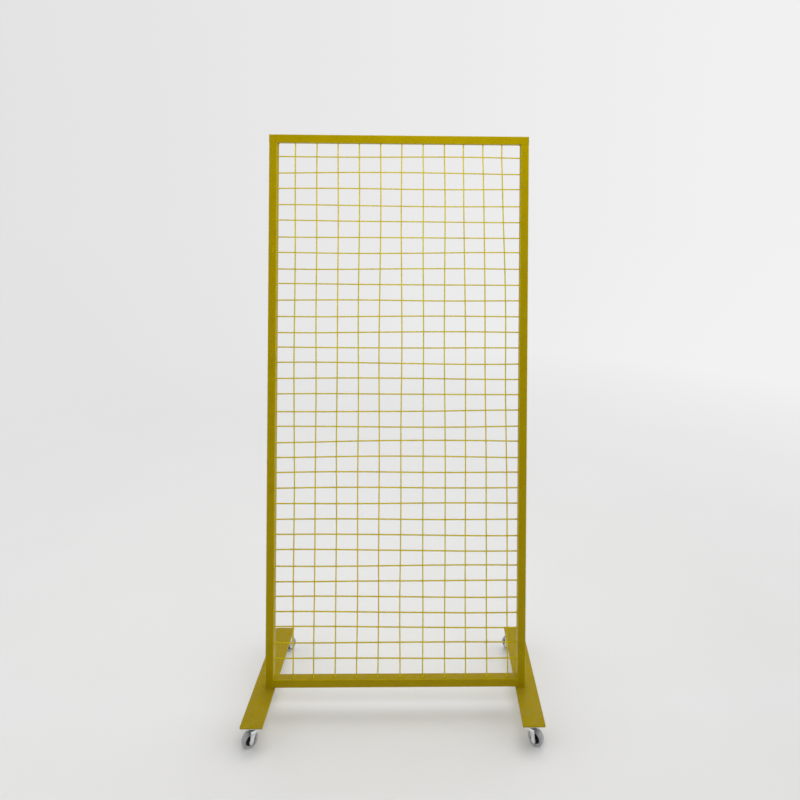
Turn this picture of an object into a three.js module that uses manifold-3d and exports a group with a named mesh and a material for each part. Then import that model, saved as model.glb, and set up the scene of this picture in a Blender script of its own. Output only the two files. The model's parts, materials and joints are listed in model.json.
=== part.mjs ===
// Mobile mesh partition panel, in millimetres, +Z up.
// The front of the panel faces -Y and +X is to the right. The origin is on the floor, at the
// middle of the footprint. A welded square-tube frame holds a welded wire mesh and stands on
// two flat foot plates, each carried by two swivel castors.
import * as THREE from "three";
import { mergeVertices } from "three/addons/utils/BufferGeometryUtils.js";
import Module from "manifold-3d";

// Driving dimensions of the frame
const FRAME_WIDTH = 800;
const FRAME_HEIGHT = 1700;
const TUBE = 25; // outer side of the square tube
const TUBE_WALL = 1.5;
const TUBE_CORNER = 2.5; // outer corner radius of the tube
const END_PLATE = 1.5; // thickness of the plates that close the top rail
const JOINT_GAP = 0.3; // between pieces that touch or are welded together

// Wire mesh
const WIRE = 4; // wire diameter, drawn here as a square section
const WIRE_SINK = 0.6; // how far the wires fuse into each other at a crossing
const UPRIGHT_PITCH = 65.5;
const CROSS_PITCH = 48.5;
const TOP_WIRE_DROP = 42; // from the top rail to the first cross wire
const LEAST_EDGE_GAP = 24; // a wire nearer than this to the rail or post is left out

// Foot plates
const FOOT_WIDTH = 65;
const FOOT_THICKNESS = 5;
const FOOT_AHEAD = 135; // plate in front of the posts
const FOOT_BEHIND = 235; // plate behind the posts
const FOOT_INNER_LEDGE = 5; // plate showing on the inner side of a post
const FOOT_CORNER = 3;
const FOOTPRINT_SHIFT = -49.5; // Y of the frame's mid plane, measured from the footprint's middle

// Castors
const CROWN_CLEARANCE = 4.6; // top of the wheel to the fork's crown
const CASTOR_END_MARGIN = 3; // foot plate showing past the end of a swivel plate
const CASTOR_INSET = 5.5; // swivel axis from the foot plate's middle, towards the mesh
const TRAIL = 16; // swivel axis to axle
const TYRE_RADIUS = 22.5; // to the middle of a facet of the tread
const TYRE_WIDTH = 17;
const TYRE_SHOULDER = 3; // bevel at each edge of the tread
const HUB_RADIUS = 14;
const HUB_BOSS_RADIUS = 6.5;
const HUB_BOSS_STANDOUT = 1; // boss past the side of the tyre
const HUB_RIM_STEP = 1; // rim in from the side of the tyre
const HUB_RIM = 2.5; // thickness of the rim
const HUB_WEB = 6;
const RUNNING_GAP = 0.5; // between a boss and its fork leg
const AXLE_RADIUS = 3;
const AXLE_CLEARANCE = 0.1; // radial, between axle and hub
const FORK_SHEET = 2.5;
const FORK_EYE_RADIUS = 6; // rounded end of a leg
const FORK_LEG_TOP = 6.5; // half length of a leg where it leaves the crown
const FORK_LEG_LEAN = 4.5; // axle past the middle of the leg's top
const CROWN_RADIUS = 17;
const SWIVEL_PLATE_MARGIN = 2.5; // foot plate showing on the inner side of a swivel plate
const SWIVEL_PLATE_WIDTH = 44; // along Y
const SWIVEL_PLATE = 3; // thickness
const SWIVEL_PLATE_CORNER = 5;
const RACE_HEIGHT = 6;
const RACE_RADIUS = 16;
const KINGPIN_RADIUS = 5;
const KINGPIN_HEAD_RIM = 3; // head past the shank
const KINGPIN_HEAD = 2.5;
const STUD_RADIUS = 3;
const STUD_EDGE = 7; // stud from the edge of the swivel plate
const STUD_CLEARANCE = 0.3; // radial, in the swivel plate and in the nut
const NUT_WALL = 2; // from the thread to a flat
const NUT_HEIGHT = 5;
const STUD_END = 0.5; // stud showing below its nut
const BOLT_HEAD = 4;
const BOLT_END = 1.5; // thread showing past the axle nut

// Which way each castor trails, in degrees from +X towards +Y
const CASTORS = [
  { name: "front_left", side: -1, front: true, heading: 217 },
  { name: "front_right", side: 1, front: true, heading: -37 },
  { name: "rear_left", side: -1, front: false, heading: 40 },
  { name: "rear_right", side: 1, front: false, heading: 140 },
];

const ROUND = 24; // sides of a wheel
const SMALL_ROUND = 12; // sides of a pin or its hole
const BOLT_ROUND = 8; // sides of a stud or its hole
const SKIN = 1; // overshoot of a cutting tool

const wasm = await Module();
wasm.setup();

// Solids and booleans

function toSolid(geometry) {
  const bare = geometry.clone();
  bare.deleteAttribute("normal");
  bare.deleteAttribute("uv");
  const welded = mergeVertices(bare, 1e-4);
  return new wasm.Manifold(new wasm.Mesh({
    numProp: 3,
    vertProperties: new Float32Array(welded.attributes.position.array),
    triVerts: new Uint32Array(welded.index.array),
  }));
}

function toGeometry(solid) {
  const mesh = solid.getMesh();
  const geometry = new THREE.BufferGeometry();
  geometry.setAttribute("position", new THREE.BufferAttribute(new Float32Array(mesh.vertProperties), 3));
  geometry.setIndex(new THREE.BufferAttribute(new Uint32Array(mesh.triVerts), 1));
  geometry.computeVertexNormals();
  return geometry;
}

function cut(geometry, tools) {
  return toGeometry(tools.reduce((solid, tool) => solid.subtract(toSolid(tool)), toSolid(geometry)));
}

function join(geometries) {
  return toGeometry(geometries.map(toSolid).reduce((whole, next) => whole.add(next)));
}

// Plain shapes, each made where it is used

function rectangle(width, height, corner) {
  const x = width / 2;
  const y = height / 2;
  const shape = new THREE.Shape();
  shape.moveTo(-x + corner, -y);
  shape.lineTo(x - corner, -y);
  shape.absarc(x - corner, -y + corner, corner, -Math.PI / 2, 0);
  shape.lineTo(x, y - corner);
  shape.absarc(x - corner, y - corner, corner, 0, Math.PI / 2);
  shape.lineTo(-x + corner, y);
  shape.absarc(-x + corner, y - corner, corner, Math.PI / 2, Math.PI);
  shape.lineTo(-x, -y + corner);
  shape.absarc(-x + corner, -y + corner, corner, Math.PI, Math.PI * 1.5);
  return shape;
}

function extrude(shape, depth, curveSegments = 3) {
  return new THREE.ExtrudeGeometry(shape, { depth, bevelEnabled: false, curveSegments });
}

// A square tube from z = 0 to z = length
function squareTube(length) {
  const section = rectangle(TUBE, TUBE, TUBE_CORNER);
  const bore = TUBE - 2 * TUBE_WALL;
  section.holes.push(rectangle(bore, bore, TUBE_CORNER - TUBE_WALL));
  return extrude(section, length);
}

// A round pin from z = low to z = high
function pin(radius, low, high, sides = SMALL_ROUND) {
  return new THREE.CylinderGeometry(radius, radius, high - low, sides)
    .rotateX(Math.PI / 2)
    .translate(0, 0, (low + high) / 2);
}

// A hexagon from z = low to z = high
function hexagon(flats, low, high) {
  return pin(flats / Math.sqrt(3), low, high, 6);
}

// A solid of revolution about Z from [radius, z] points
function turned(points, sides = ROUND) {
  const profile = points.map(([radius, z]) => new THREE.Vector2(radius, z));
  return new THREE.LatheGeometry(profile, sides).rotateX(Math.PI / 2);
}

function finish(color, roughness, metalness) {
  return () => new THREE.MeshStandardMaterial({ color, roughness, metalness });
}

const paintedSteel = finish("#9a8608", 0.5, 0.1);
const zincPlate = finish("#c9ccd0", 0.3, 0.9);
const blackPlastic = finish("#161616", 0.55, 0);
const greyRubber = finish("#a6a8aa", 0.8, 0);

function piece(name, geometry, material) {
  const mesh = new THREE.Mesh(geometry, material());
  mesh.name = name;
  return mesh;
}

// Frame

const swivelStack = SWIVEL_PLATE + RACE_HEIGHT + FORK_SHEET + 3 * JOINT_GAP;
const castorHeight = 2 * TYRE_RADIUS + CROWN_CLEARANCE + swivelStack;
const frameBase = castorHeight + FOOT_THICKNESS + JOINT_GAP;
const innerWidth = FRAME_WIDTH - 2 * TUBE;
const innerHeight = FRAME_HEIGHT - 2 * TUBE;
const postX = (FRAME_WIDTH - TUBE) / 2;

function buildFrame() {
  const frame = new THREE.Group();
  const postLength = FRAME_HEIGHT - TUBE - JOINT_GAP;
  const lowRailLength = innerWidth - 2 * JOINT_GAP;

  const topRail = piece("top_rail", squareTube(FRAME_WIDTH).rotateY(Math.PI / 2), paintedSteel);
  topRail.position.set(-FRAME_WIDTH / 2, 0, FRAME_HEIGHT - TUBE / 2);
  frame.add(topRail);

  const lowRail = piece("bottom_rail", squareTube(lowRailLength).rotateY(Math.PI / 2), paintedSteel);
  lowRail.position.set(-lowRailLength / 2, 0, TUBE / 2);
  frame.add(lowRail);

  const plugSide = TUBE - 2 * (TUBE_WALL + JOINT_GAP);
  for (const [name, side] of [["left", -1], ["right", 1]]) {
    const post = piece(`${name}_post`, squareTube(postLength), paintedSteel);
    post.position.set(side * postX, 0, 0);
    frame.add(post);

    const plug = extrude(rectangle(plugSide, plugSide, TUBE_CORNER - TUBE_WALL), END_PLATE);
    plug.translate(0, 0, -END_PLATE / 2).rotateY(Math.PI / 2);
    const endPlate = piece(`top_rail_end_plate_${name}`, plug, paintedSteel);
    endPlate.position.set(side * (FRAME_WIDTH - END_PLATE) / 2, 0, FRAME_HEIGHT - TUBE / 2);
    frame.add(endPlate);
  }
  return frame;
}

// Wire mesh: upright wires in front, cross wires behind, fused where they cross

function buildMesh() {
  const reach = WIRE - WIRE_SINK;
  const uprightLength = innerHeight - 2 * JOINT_GAP;
  const crossLength = innerWidth - 2 * JOINT_GAP;
  const uprights = Math.floor((innerWidth - 2 * LEAST_EDGE_GAP) / UPRIGHT_PITCH) + 1;
  const crosses = Math.floor((innerHeight - TOP_WIRE_DROP - LEAST_EDGE_GAP) / CROSS_PITCH) + 1;
  const wires = [];
  for (let i = 0; i < uprights; i += 1) {
    const x = (i - (uprights - 1) / 2) * UPRIGHT_PITCH;
    wires.push(new THREE.BoxGeometry(WIRE, WIRE, uprightLength)
      .translate(x, -reach / 2, FRAME_HEIGHT / 2));
  }
  for (let i = 0; i < crosses; i += 1) {
    const z = FRAME_HEIGHT - TUBE - TOP_WIRE_DROP - i * CROSS_PITCH;
    wires.push(new THREE.BoxGeometry(crossLength, WIRE, WIRE).translate(0, reach / 2, z));
  }
  return piece("mesh_panel", join(wires), paintedSteel);
}

// Foot plates, with the welded studs that hold the castors

const footLength = FOOT_AHEAD + TUBE + FOOT_BEHIND;
const footMiddleY = (FOOT_BEHIND - FOOT_AHEAD) / 2;
const footX = FRAME_WIDTH / 2 - TUBE - FOOT_INNER_LEDGE + FOOT_WIDTH / 2;
const castorOffsetY = (footLength - SWIVEL_PLATE_WIDTH) / 2 - CASTOR_END_MARGIN;
const swivelPlateLength = FOOT_WIDTH - 2 * (CASTOR_INSET + SWIVEL_PLATE_MARGIN);

function studPlaces() {
  const places = [];
  for (const x of [-1, 1]) {
    for (const y of [-1, 1]) {
      places.push([
        x * (swivelPlateLength / 2 - STUD_EDGE),
        y * (SWIVEL_PLATE_WIDTH / 2 - STUD_EDGE),
      ]);
    }
  }
  return places;
}

function buildFoot(name, side) {
  const studDrop = SWIVEL_PLATE + 2 * JOINT_GAP + NUT_HEIGHT + STUD_END;
  const solids = [extrude(rectangle(FOOT_WIDTH, footLength, FOOT_CORNER), FOOT_THICKNESS)];
  for (const end of [-1, 1]) {
    for (const [x, y] of studPlaces()) {
      solids.push(pin(STUD_RADIUS, -studDrop, FOOT_THICKNESS / 2, BOLT_ROUND)
        .translate(x - side * CASTOR_INSET, end * castorOffsetY + y, 0));
    }
  }
  const foot = piece(`${name}_foot_plate`, join(solids), paintedSteel);
  foot.position.set(side * footX, footMiddleY, castorHeight);
  return foot;
}

// Castor. Its origin is on the swivel axis at the underside of the foot plate. The pieces that
// swivel trail along +X and are turned to the castor's heading.

const axleZ = TYRE_RADIUS - castorHeight;
const plateTop = -JOINT_GAP;
const plateLow = plateTop - SWIVEL_PLATE;
const raceTop = plateLow - JOINT_GAP;
const raceLow = raceTop - RACE_HEIGHT;
const crownTop = raceLow - JOINT_GAP;
const crownLow = crownTop - FORK_SHEET;
const bossEnd = TYRE_WIDTH / 2 + HUB_BOSS_STANDOUT;
const legInside = bossEnd + RUNNING_GAP;
const legOutside = legInside + FORK_SHEET;

function swivelPlate() {
  const blank = extrude(
    rectangle(swivelPlateLength, SWIVEL_PLATE_WIDTH, SWIVEL_PLATE_CORNER),
    SWIVEL_PLATE,
  ).translate(0, 0, plateLow);
  const holes = studPlaces().map(([x, y]) => (
    pin(STUD_RADIUS + STUD_CLEARANCE, plateLow - SKIN, plateTop + SKIN, BOLT_ROUND).translate(x, y, 0)
  ));
  holes.push(pin(KINGPIN_RADIUS + JOINT_GAP, plateLow - SKIN, plateTop + SKIN));
  return cut(blank, holes);
}

function race() {
  const inner = KINGPIN_RADIUS + JOINT_GAP;
  const step = RACE_RADIUS - 1.5;
  return turned([
    [inner, raceLow],
    [step, raceLow],
    [RACE_RADIUS, raceLow + RACE_HEIGHT / 3],
    [RACE_RADIUS, raceTop - RACE_HEIGHT / 3],
    [step, raceTop],
    [inner, raceTop],
    [inner, raceLow],
  ], SMALL_ROUND);
}

function kingpin() {
  const headTop = crownLow - JOINT_GAP;
  const headRadius = KINGPIN_RADIUS + KINGPIN_HEAD_RIM;
  return turned([
    [0, headTop - KINGPIN_HEAD],
    [headRadius - 1, headTop - KINGPIN_HEAD],
    [headRadius, headTop],
    [KINGPIN_RADIUS, headTop],
    [KINGPIN_RADIUS, plateTop],
    [0, plateTop],
  ], SMALL_ROUND);
}

// One pressed sheet: a round crown with two legs that taper to the axle
function fork() {
  const crown = new THREE.Shape();
  crown.absarc(0, 0, CROWN_RADIUS, 0, Math.PI * 2);
  const legTopX = TRAIL - FORK_LEG_LEAN;
  const legShape = new THREE.Shape();
  legShape.moveTo(legTopX - FORK_LEG_TOP, crownTop);
  legShape.lineTo(TRAIL - FORK_EYE_RADIUS, axleZ);
  legShape.absarc(TRAIL, axleZ, FORK_EYE_RADIUS, Math.PI, Math.PI * 2);
  legShape.lineTo(legTopX + FORK_LEG_TOP, crownTop);
  const leg = extrude(legShape, FORK_SHEET, 6).rotateX(Math.PI / 2);
  const solids = [
    extrude(crown, FORK_SHEET, SMALL_ROUND).translate(0, 0, crownLow),
    new THREE.BoxGeometry(2 * FORK_LEG_TOP, 2 * legOutside, FORK_SHEET)
      .translate(legTopX, 0, (crownTop + crownLow) / 2),
    leg.clone().translate(0, legOutside, 0),
    leg.clone().translate(0, -legInside, 0),
  ];
  const bolt = pin(AXLE_RADIUS + JOINT_GAP, -legOutside - SKIN, legOutside + SKIN)
    .rotateX(Math.PI / 2)
    .translate(TRAIL, 0, axleZ);
  const swivelHole = pin(KINGPIN_RADIUS + JOINT_GAP, crownLow - SKIN, crownTop + SKIN);
  return cut(join(solids), [bolt, swivelHole]);
}

// The pieces on the axle are turned about Z, rolled by half a facet so that the tread rests on
// a flat, and laid along Y
function onAxle(geometry) {
  return geometry.rotateZ(Math.PI / ROUND).rotateX(Math.PI / 2).translate(TRAIL, 0, axleZ);
}

function axleBolt() {
  const headLow = legOutside + JOINT_GAP;
  const boltEnd = legOutside + 2 * JOINT_GAP + NUT_HEIGHT + BOLT_END;
  return onAxle(join([
    hexagon(2 * (AXLE_RADIUS + NUT_WALL), headLow, headLow + BOLT_HEAD),
    pin(AXLE_RADIUS, -boltEnd, headLow + BOLT_HEAD / 2),
  ]));
}

function nut(low, threadRadius) {
  return cut(hexagon(2 * (threadRadius + NUT_WALL), low, low + NUT_HEIGHT), [
    pin(threadRadius + STUD_CLEARANCE, low - SKIN, low + NUT_HEIGHT + SKIN, BOLT_ROUND),
  ]);
}

function hub() {
  const bore = AXLE_RADIUS + AXLE_CLEARANCE;
  const rim = TYRE_WIDTH / 2 - HUB_RIM_STEP;
  const web = HUB_WEB / 2;
  const rimInside = HUB_RADIUS - HUB_RIM;
  return onAxle(turned([
    [bore, -bossEnd], [HUB_BOSS_RADIUS, -bossEnd], [HUB_BOSS_RADIUS, -web], [rimInside, -web],
    [rimInside, -rim], [HUB_RADIUS, -rim], [HUB_RADIUS, rim], [rimInside, rim],
    [rimInside, web], [HUB_BOSS_RADIUS, web], [HUB_BOSS_RADIUS, bossEnd], [bore, bossEnd],
    [bore, -bossEnd],
  ]));
}

function tyre() {
  const seat = HUB_RADIUS + JOINT_GAP;
  const edge = TYRE_WIDTH / 2;
  const tread = edge - TYRE_SHOULDER;
  const corner = TYRE_RADIUS / Math.cos(Math.PI / ROUND);
  const shoulder = corner - TYRE_SHOULDER;
  return onAxle(turned([
    [seat, -edge], [shoulder, -edge], [corner, -tread],
    [corner, tread], [shoulder, edge], [seat, edge], [seat, -edge],
  ]));
}

function buildCastor({ name, side, front, heading }) {
  const castor = new THREE.Group();
  const label = `castor_${name}`;
  castor.add(piece(`${label}_swivel_plate`, swivelPlate(), zincPlate));
  castor.add(piece(`${label}_kingpin`, kingpin(), zincPlate));
  studPlaces().forEach(([x, y], i) => {
    const low = plateLow - JOINT_GAP - NUT_HEIGHT;
    const studNut = piece(`${label}_stud_nut_${i + 1}`, nut(low, STUD_RADIUS), zincPlate);
    studNut.position.set(x, y, 0);
    castor.add(studNut);
  });

  const swivel = new THREE.Group();
  swivel.rotation.z = THREE.MathUtils.degToRad(heading);
  swivel.add(piece(`${label}_ball_race`, race(), zincPlate));
  swivel.add(piece(`${label}_fork`, fork(), zincPlate));
  swivel.add(piece(`${label}_axle_bolt`, axleBolt(), zincPlate));
  const nutLow = -legOutside - JOINT_GAP - NUT_HEIGHT;
  swivel.add(piece(`${label}_axle_nut`, onAxle(nut(nutLow, AXLE_RADIUS)), zincPlate));
  swivel.add(piece(`${label}_wheel_hub`, hub(), blackPlastic));
  swivel.add(piece(`${label}_tyre`, tyre(), greyRubber));
  castor.add(swivel);

  const y = footMiddleY + (front ? -castorOffsetY : castorOffsetY);
  castor.position.set(side * (footX - CASTOR_INSET), y, castorHeight);
  return castor;
}

// Assembly

const panel = new THREE.Group();
const upper = new THREE.Group();
upper.position.z = frameBase;
upper.add(buildFrame(), buildMesh());
panel.add(upper, buildFoot("left", -1), buildFoot("right", 1));
panel.add(...CASTORS.map(buildCastor));
panel.position.y = FOOTPRINT_SHIFT;

export default panel;
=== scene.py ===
"""A mobile mesh partition panel, drawn around its fixed frame. Laid out as an add-on and run as a script."""
import json
import math

import bmesh
import bpy
from bpy.props import FloatProperty, FloatVectorProperty, IntProperty, PointerProperty
from mathutils import Matrix, Vector


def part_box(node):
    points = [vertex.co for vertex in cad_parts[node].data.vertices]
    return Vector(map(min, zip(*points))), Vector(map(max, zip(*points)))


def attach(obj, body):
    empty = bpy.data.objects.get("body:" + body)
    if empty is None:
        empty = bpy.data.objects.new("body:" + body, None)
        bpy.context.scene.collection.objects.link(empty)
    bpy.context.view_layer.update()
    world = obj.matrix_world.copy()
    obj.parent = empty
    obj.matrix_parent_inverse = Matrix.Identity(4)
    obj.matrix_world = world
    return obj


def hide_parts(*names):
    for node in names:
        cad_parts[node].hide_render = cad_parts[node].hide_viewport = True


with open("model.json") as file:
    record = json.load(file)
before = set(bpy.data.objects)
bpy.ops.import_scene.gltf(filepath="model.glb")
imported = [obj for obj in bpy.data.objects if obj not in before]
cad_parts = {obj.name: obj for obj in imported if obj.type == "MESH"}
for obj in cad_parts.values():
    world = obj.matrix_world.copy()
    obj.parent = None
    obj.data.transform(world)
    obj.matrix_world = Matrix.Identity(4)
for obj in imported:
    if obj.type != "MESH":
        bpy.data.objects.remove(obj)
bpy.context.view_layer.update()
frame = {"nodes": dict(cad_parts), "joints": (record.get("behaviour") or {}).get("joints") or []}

bl_info = {
    "name": "Mobile Mesh Panel",
    "version": (1, 0, 0),
    "blender": (4, 5, 0),
    "location": "View3D > Sidebar > Mesh Panel",
    "description": "Builds a welded wire mesh panel on foot plates and swivel castors",
    "category": "Object",
}

MM = 0.001
SOFT = 0.3 * MM  # smallest rounding or gap of a pressed or moulded part
BORE_PLAY = 0.1 * MM  # around a pin in its bore
QUARTER = math.pi / 2
CASTORS = ("castor_front_left", "castor_front_right", "castor_rear_left", "castor_rear_right")
JOINTS = {joint["name"]: joint for joint in frame["joints"]}


def linear(hex_colour):
    """An sRGB hex colour as linear red, green, blue and alpha."""
    channels = [int(hex_colour[i:i + 2], 16) / 255 for i in (1, 3, 5)]
    return [c / 12.92 if c <= 0.04045 else ((c + 0.055) / 1.055) ** 2.4 for c in channels] + [1.0]


def length(name, description, millimetres):
    """A length that the user can change, given in millimetres."""
    return FloatProperty(name=name, description=description, default=millimetres * MM,
                         min=0, unit="LENGTH", precision=5)


def colour(name, description, hex_colour):
    """A colour that the user can change."""
    return FloatVectorProperty(name=name, description=description, default=linear(hex_colour),
                               size=4, min=0, max=1, subtype="COLOR")


# Sizes and colours

class FrameSizes(bpy.types.PropertyGroup):
    """Sizes of the welded frame, its mesh and its foot plates"""
    tube_corner: length("Tube Corner", "Outer corner radius of the square tube", 2.5)
    tube_wall: length("Tube Wall", "Wall thickness of the square tube", 1.5)
    tube_burr: length("Deburred Edge", "Chamfer at the cut ends of a tube", 0.4)
    end_plate_edge: length("End Plate Edge", "Rounding of the plates that close the top rail", 0.3)
    wire: length("Wire", "Diameter of the mesh wires", 4)
    wire_sink: length("Wire Sink", "How far two wires fuse at a crossing", 0.6)
    upright_count: IntProperty(name="Upright Wires", description="Number of upright wires",
                               default=11, min=2)
    upright_spacing: length("Upright Spacing", "Between the middles of two upright wires", 65.5)
    cross_count: IntProperty(name="Cross Wires", description="Number of cross wires", default=33, min=2)
    cross_spacing: length("Cross Spacing", "Between the middles of two cross wires", 48.5)
    top_wire_drop: length("Top Wire Drop", "From the top rail to the first cross wire", 42)
    upright_waver: length("Upright Waver", "How far a hand-fed upright wire strays", 2)
    cross_waver: length("Cross Waver", "How far a hand-fed cross wire strays", 4)
    shift: length("Shift", "How far the upright wires sit to the right of even spacing", 7)
    lean: length("Lean", "How much farther the right-hand uprights stray at the bottom", 11)
    sag: length("Sag", "How far the middle cross wires sit below even spacing", 8)
    nugget: length("Weld Nugget", "Radius of the spot weld at a crossing", 3.1)
    end_tack: length("End Tack", "Radius of the tack weld at the end of a wire", 3.4)
    bead: length("Weld Bead", "Width of the fillet welds of the frame", 4)
    bead_flush: length("Ground Bead", "How far a ground weld stands proud", 0.35)
    bead_step: length("Bead Step", "Between two ripples of a fillet weld", 0.8)
    foot_corner: length("Foot Corner", "Corner radius of a foot plate", 3)
    foot_edge: length("Foot Edge", "Rounding of the long edges of a foot plate", 0.9)


class CastorSizes(bpy.types.PropertyGroup):
    """Sizes of a castor"""
    plate_corner: length("Plate Corner", "Corner radius of the swivel plate", 5)
    plate_edge: length("Plate Edge", "Rounding of the swivel plate's edges", 0.5)
    stud: length("Stud", "Radius of a stud", 3)
    stud_clearance: length("Stud Clearance", "Around a stud in its hole", 0.3)
    thread_pitch: length("Thread Pitch", "Between two turns of a thread", 1)
    thread_start: length("Thread Start", "Plain point below the first turn of a thread", 0.6)
    thread_taper: length("Thread Taper", "How far the point is cut back from the shank", 0.7)
    nut_flats: length("Nut Flats", "Across the flats of a nut or bolt head", 10)
    kingpin: length("Kingpin", "Radius of the kingpin's shank", 5)
    cup_sheet: length("Cup Sheet", "Sheet thickness of the race's pressed cups", 1.1)
    ball: length("Ball", "Radius of a ball in the race", 1.7)
    ball_count: IntProperty(name="Balls", description="Balls in a race", default=18, min=3)
    fork_sheet: length("Fork Sheet", "Sheet thickness of the fork", 2.5)
    fork_bend: length("Fork Bend", "Outer radius of the bend from crown to leg", 4)
    fork_crown: length("Fork Crown", "Radius of the round crown", 17)
    fork_eye: length("Fork Eye", "Radius of the rounded end of a leg", 6)
    fork_leg: length("Fork Leg", "Half width of a leg below the crown", 6.5)
    fork_lean: length("Fork Lean", "Axle past the middle of the leg's top", 4.5)
    axle: length("Axle", "Radius of the axle bolt", 3)
    hub_boss: length("Hub Boss", "Radius of the boss around the axle", 6.5)
    hub_rim: length("Hub Rim", "Thickness of the hub's rim", 2.5)
    hub_rim_step: length("Hub Rim Step", "Rim in from the side of the tyre", 1)
    hub_web: length("Hub Web", "Thickness of the hub's web", 6)
    rib: length("Rib", "Thickness of a rib of the hub", 1.7)
    rib_count: IntProperty(name="Ribs", description="Ribs between boss and rim", default=6, min=2)
    tyre_shoulder: length("Tyre Shoulder", "Radius of the tyre's shoulders", 3)
    tyre_crown: length("Tyre Crown", "How far the middle of the tread stands proud", 0.4)


class Finishes(bpy.types.PropertyGroup):
    """Colours of the finishes"""
    paint: colour("Paint", "Olive-yellow powder coat", "#9b8602")
    paint_dark: colour("Dark Paint", "Where the coat lies thick", "#8f7a02")
    # Rubbed Paint is both worn coat and a painted highlight on the tube corners; the scuffs use it too.
    paint_wear_and_highlight: colour("Rubbed Paint", "Where corners are rubbed bright", "#c2b21c")
    paint_sheen: colour("Paint Sheen", "Tint of what the coat mirrors head-on", "#f0d800")
    # The wire colours are lighter than the frame paint: a painted highlight for the side light on the wires.
    # The darker one is where the coat has run.
    highlit_wire_colour: colour("Wire Paint", "The thinner coat on the wires", "#c6b40a")
    highlit_thick_wire_colour: colour("Dark Wire Paint", "Where the coat has run on a wire", "#ad9a06")
    zinc: colour("Zinc", "Bright zinc plate", "#ecedee")
    zinc_dull: colour("Dull Zinc", "Zinc that has dulled", "#c0c3c7")
    dust: colour("Dust", "Fine dust on what lies level", "#a9a79a")
    plastic: colour("Plastic", "Black wheel centre", "#0c0c0d")
    plastic_worn: colour("Dusty Plastic", "Wheel centre under a film of dust", "#242425")
    rubber: colour("Rubber", "Light grey tread", "#a5a6a8")
    rubber_dirt: colour("Soiled Rubber", "Tread that has picked up dirt", "#88888b")
    floor: colour("Floor", "Pale floor", "#e8e8e8")
    backdrop_left: colour("Backdrop Left", "What the floor fades into on the left", "#e3e3e3")
    backdrop_right: colour("Backdrop Right", "What the floor fades into on the right", "#f2f2f2")


class StageSettings(bpy.types.PropertyGroup):
    """Lights and camera"""
    sky: FloatProperty(name="Sky", description="Even light from all sides, against the backdrop",
                       default=0.44)
    side: FloatProperty(name="Side Light", description="Added light from left and right", default=3.0)
    back: FloatProperty(name="Back Light", description="Added light from high behind", default=2.8)
    back_way: FloatVectorProperty(name="Back Light Direction", description="Where it comes from",
                                  default=(0.08, 0.4, 0.92), subtype="DIRECTION")
    back_spread: FloatProperty(name="Back Light Spread", description="Angle from its middle to its edge",
                               default=math.radians(26), subtype="ANGLE")
    key: FloatProperty(name="Key Light", description="Softbox above the front", default=3.4, unit="POWER")
    key_size: FloatVectorProperty(name="Key Size", description="Width and depth of the softbox", size=2,
                                  default=(1.1, 0.5), unit="LENGTH")
    key_place: FloatVectorProperty(name="Key Place", description="Place of the softbox",
                                   default=(0.25, -1.05, 2.35), subtype="TRANSLATION")
    key_aim: FloatVectorProperty(name="Key Aim", description="Point that the softbox faces",
                                 default=(0, -0.05, 1.6), subtype="TRANSLATION")
    lens: FloatProperty(name="Lens", description="Focal length in millimetres", default=25.47)
    camera: FloatVectorProperty(name="Camera", description="Place of the camera",
                                default=(0.0806, -1.8059, 1.5025), subtype="TRANSLATION")
    camera_shift: FloatVectorProperty(name="Shift", description="Camera's shift in X and Y", size=2,
                                      default=(-0.0424, -0.2229))
    camera_pan: FloatProperty(name="Pan", description="Camera's turn about the upright", subtype="ANGLE",
                              default=math.radians(-0.889))
    camera_roll: FloatProperty(name="Roll", description="Camera's turn about its line of sight",
                               subtype="ANGLE", default=math.radians(0.408))


# Node trees

def add(tree, kind, inputs=None, **settings):
    """Adds a node with its settings. An input is a value, a socket, or a node, for its first output."""
    node = tree.nodes.new(kind)
    for name, value in settings.items():
        setattr(node, name, value)
    for key, value in (inputs or {}).items():
        if isinstance(value, bpy.types.Node):
            value = value.outputs[0]
        if isinstance(value, bpy.types.NodeSocket):
            tree.links.new(value, node.inputs[key])
        else:
            node.inputs[key].default_value = value
    return node


def new_tree(name, **inputs):
    """A geometry tree with named inputs, and the sockets that give them."""
    tree = bpy.data.node_groups.new(name, "GeometryNodeTree")
    tree.interface.new_socket("Geometry", in_out="OUTPUT", socket_type="NodeSocketGeometry")
    for label, kind in {"Geometry": "Geometry", **inputs, "Finish": "Material"}.items():
        tree.interface.new_socket(label.replace("_", " "), in_out="INPUT", socket_type=f"NodeSocket{kind}")
    return tree, add(tree, "NodeGroupInput").outputs


def end_tree(tree, given, *parts):
    """Joins the parts, makes them real, gives them their material and ends the tree."""
    joined = add(tree, "GeometryNodeJoinGeometry")
    for part in parts:
        tree.links.new(part, joined.inputs[0])
    real = add(tree, "GeometryNodeRealizeInstances", {0: joined})
    covered = add(tree, "GeometryNodeSetMaterial", {"Geometry": real, "Material": given["Finish"]})
    add(tree, "NodeGroupOutput", {0: covered})
    return tree


def smooth_ball(tree, radius):
    """A small smooth ball, for a weld or a bearing."""
    ball = add(tree, "GeometryNodeMeshIcoSphere", {"Radius": radius, "Subdivisions": 2})
    return add(tree, "GeometryNodeSetShadeSmooth", {0: ball})


def wander(tree, given, place, stretch, size):
    """How far a wire strays at a place: a noise that is slow along the wire, where stretch is small, and
    differs from wire to wire, where it is large."""
    stretched = add(tree, "ShaderNodeVectorMath", {0: place, 1: stretch}, operation="MULTIPLY")
    noise = add(tree, "ShaderNodeTexNoise", {"Vector": stretched, "W": given["Seed"], "Detail": 0.0},
                noise_dimensions="4D")
    centred = add(tree, "ShaderNodeMath", {0: noise, 1: 0.5}, operation="SUBTRACT")
    return add(tree, "ShaderNodeMath", {0: centred, 1: size}, operation="MULTIPLY")


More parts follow.
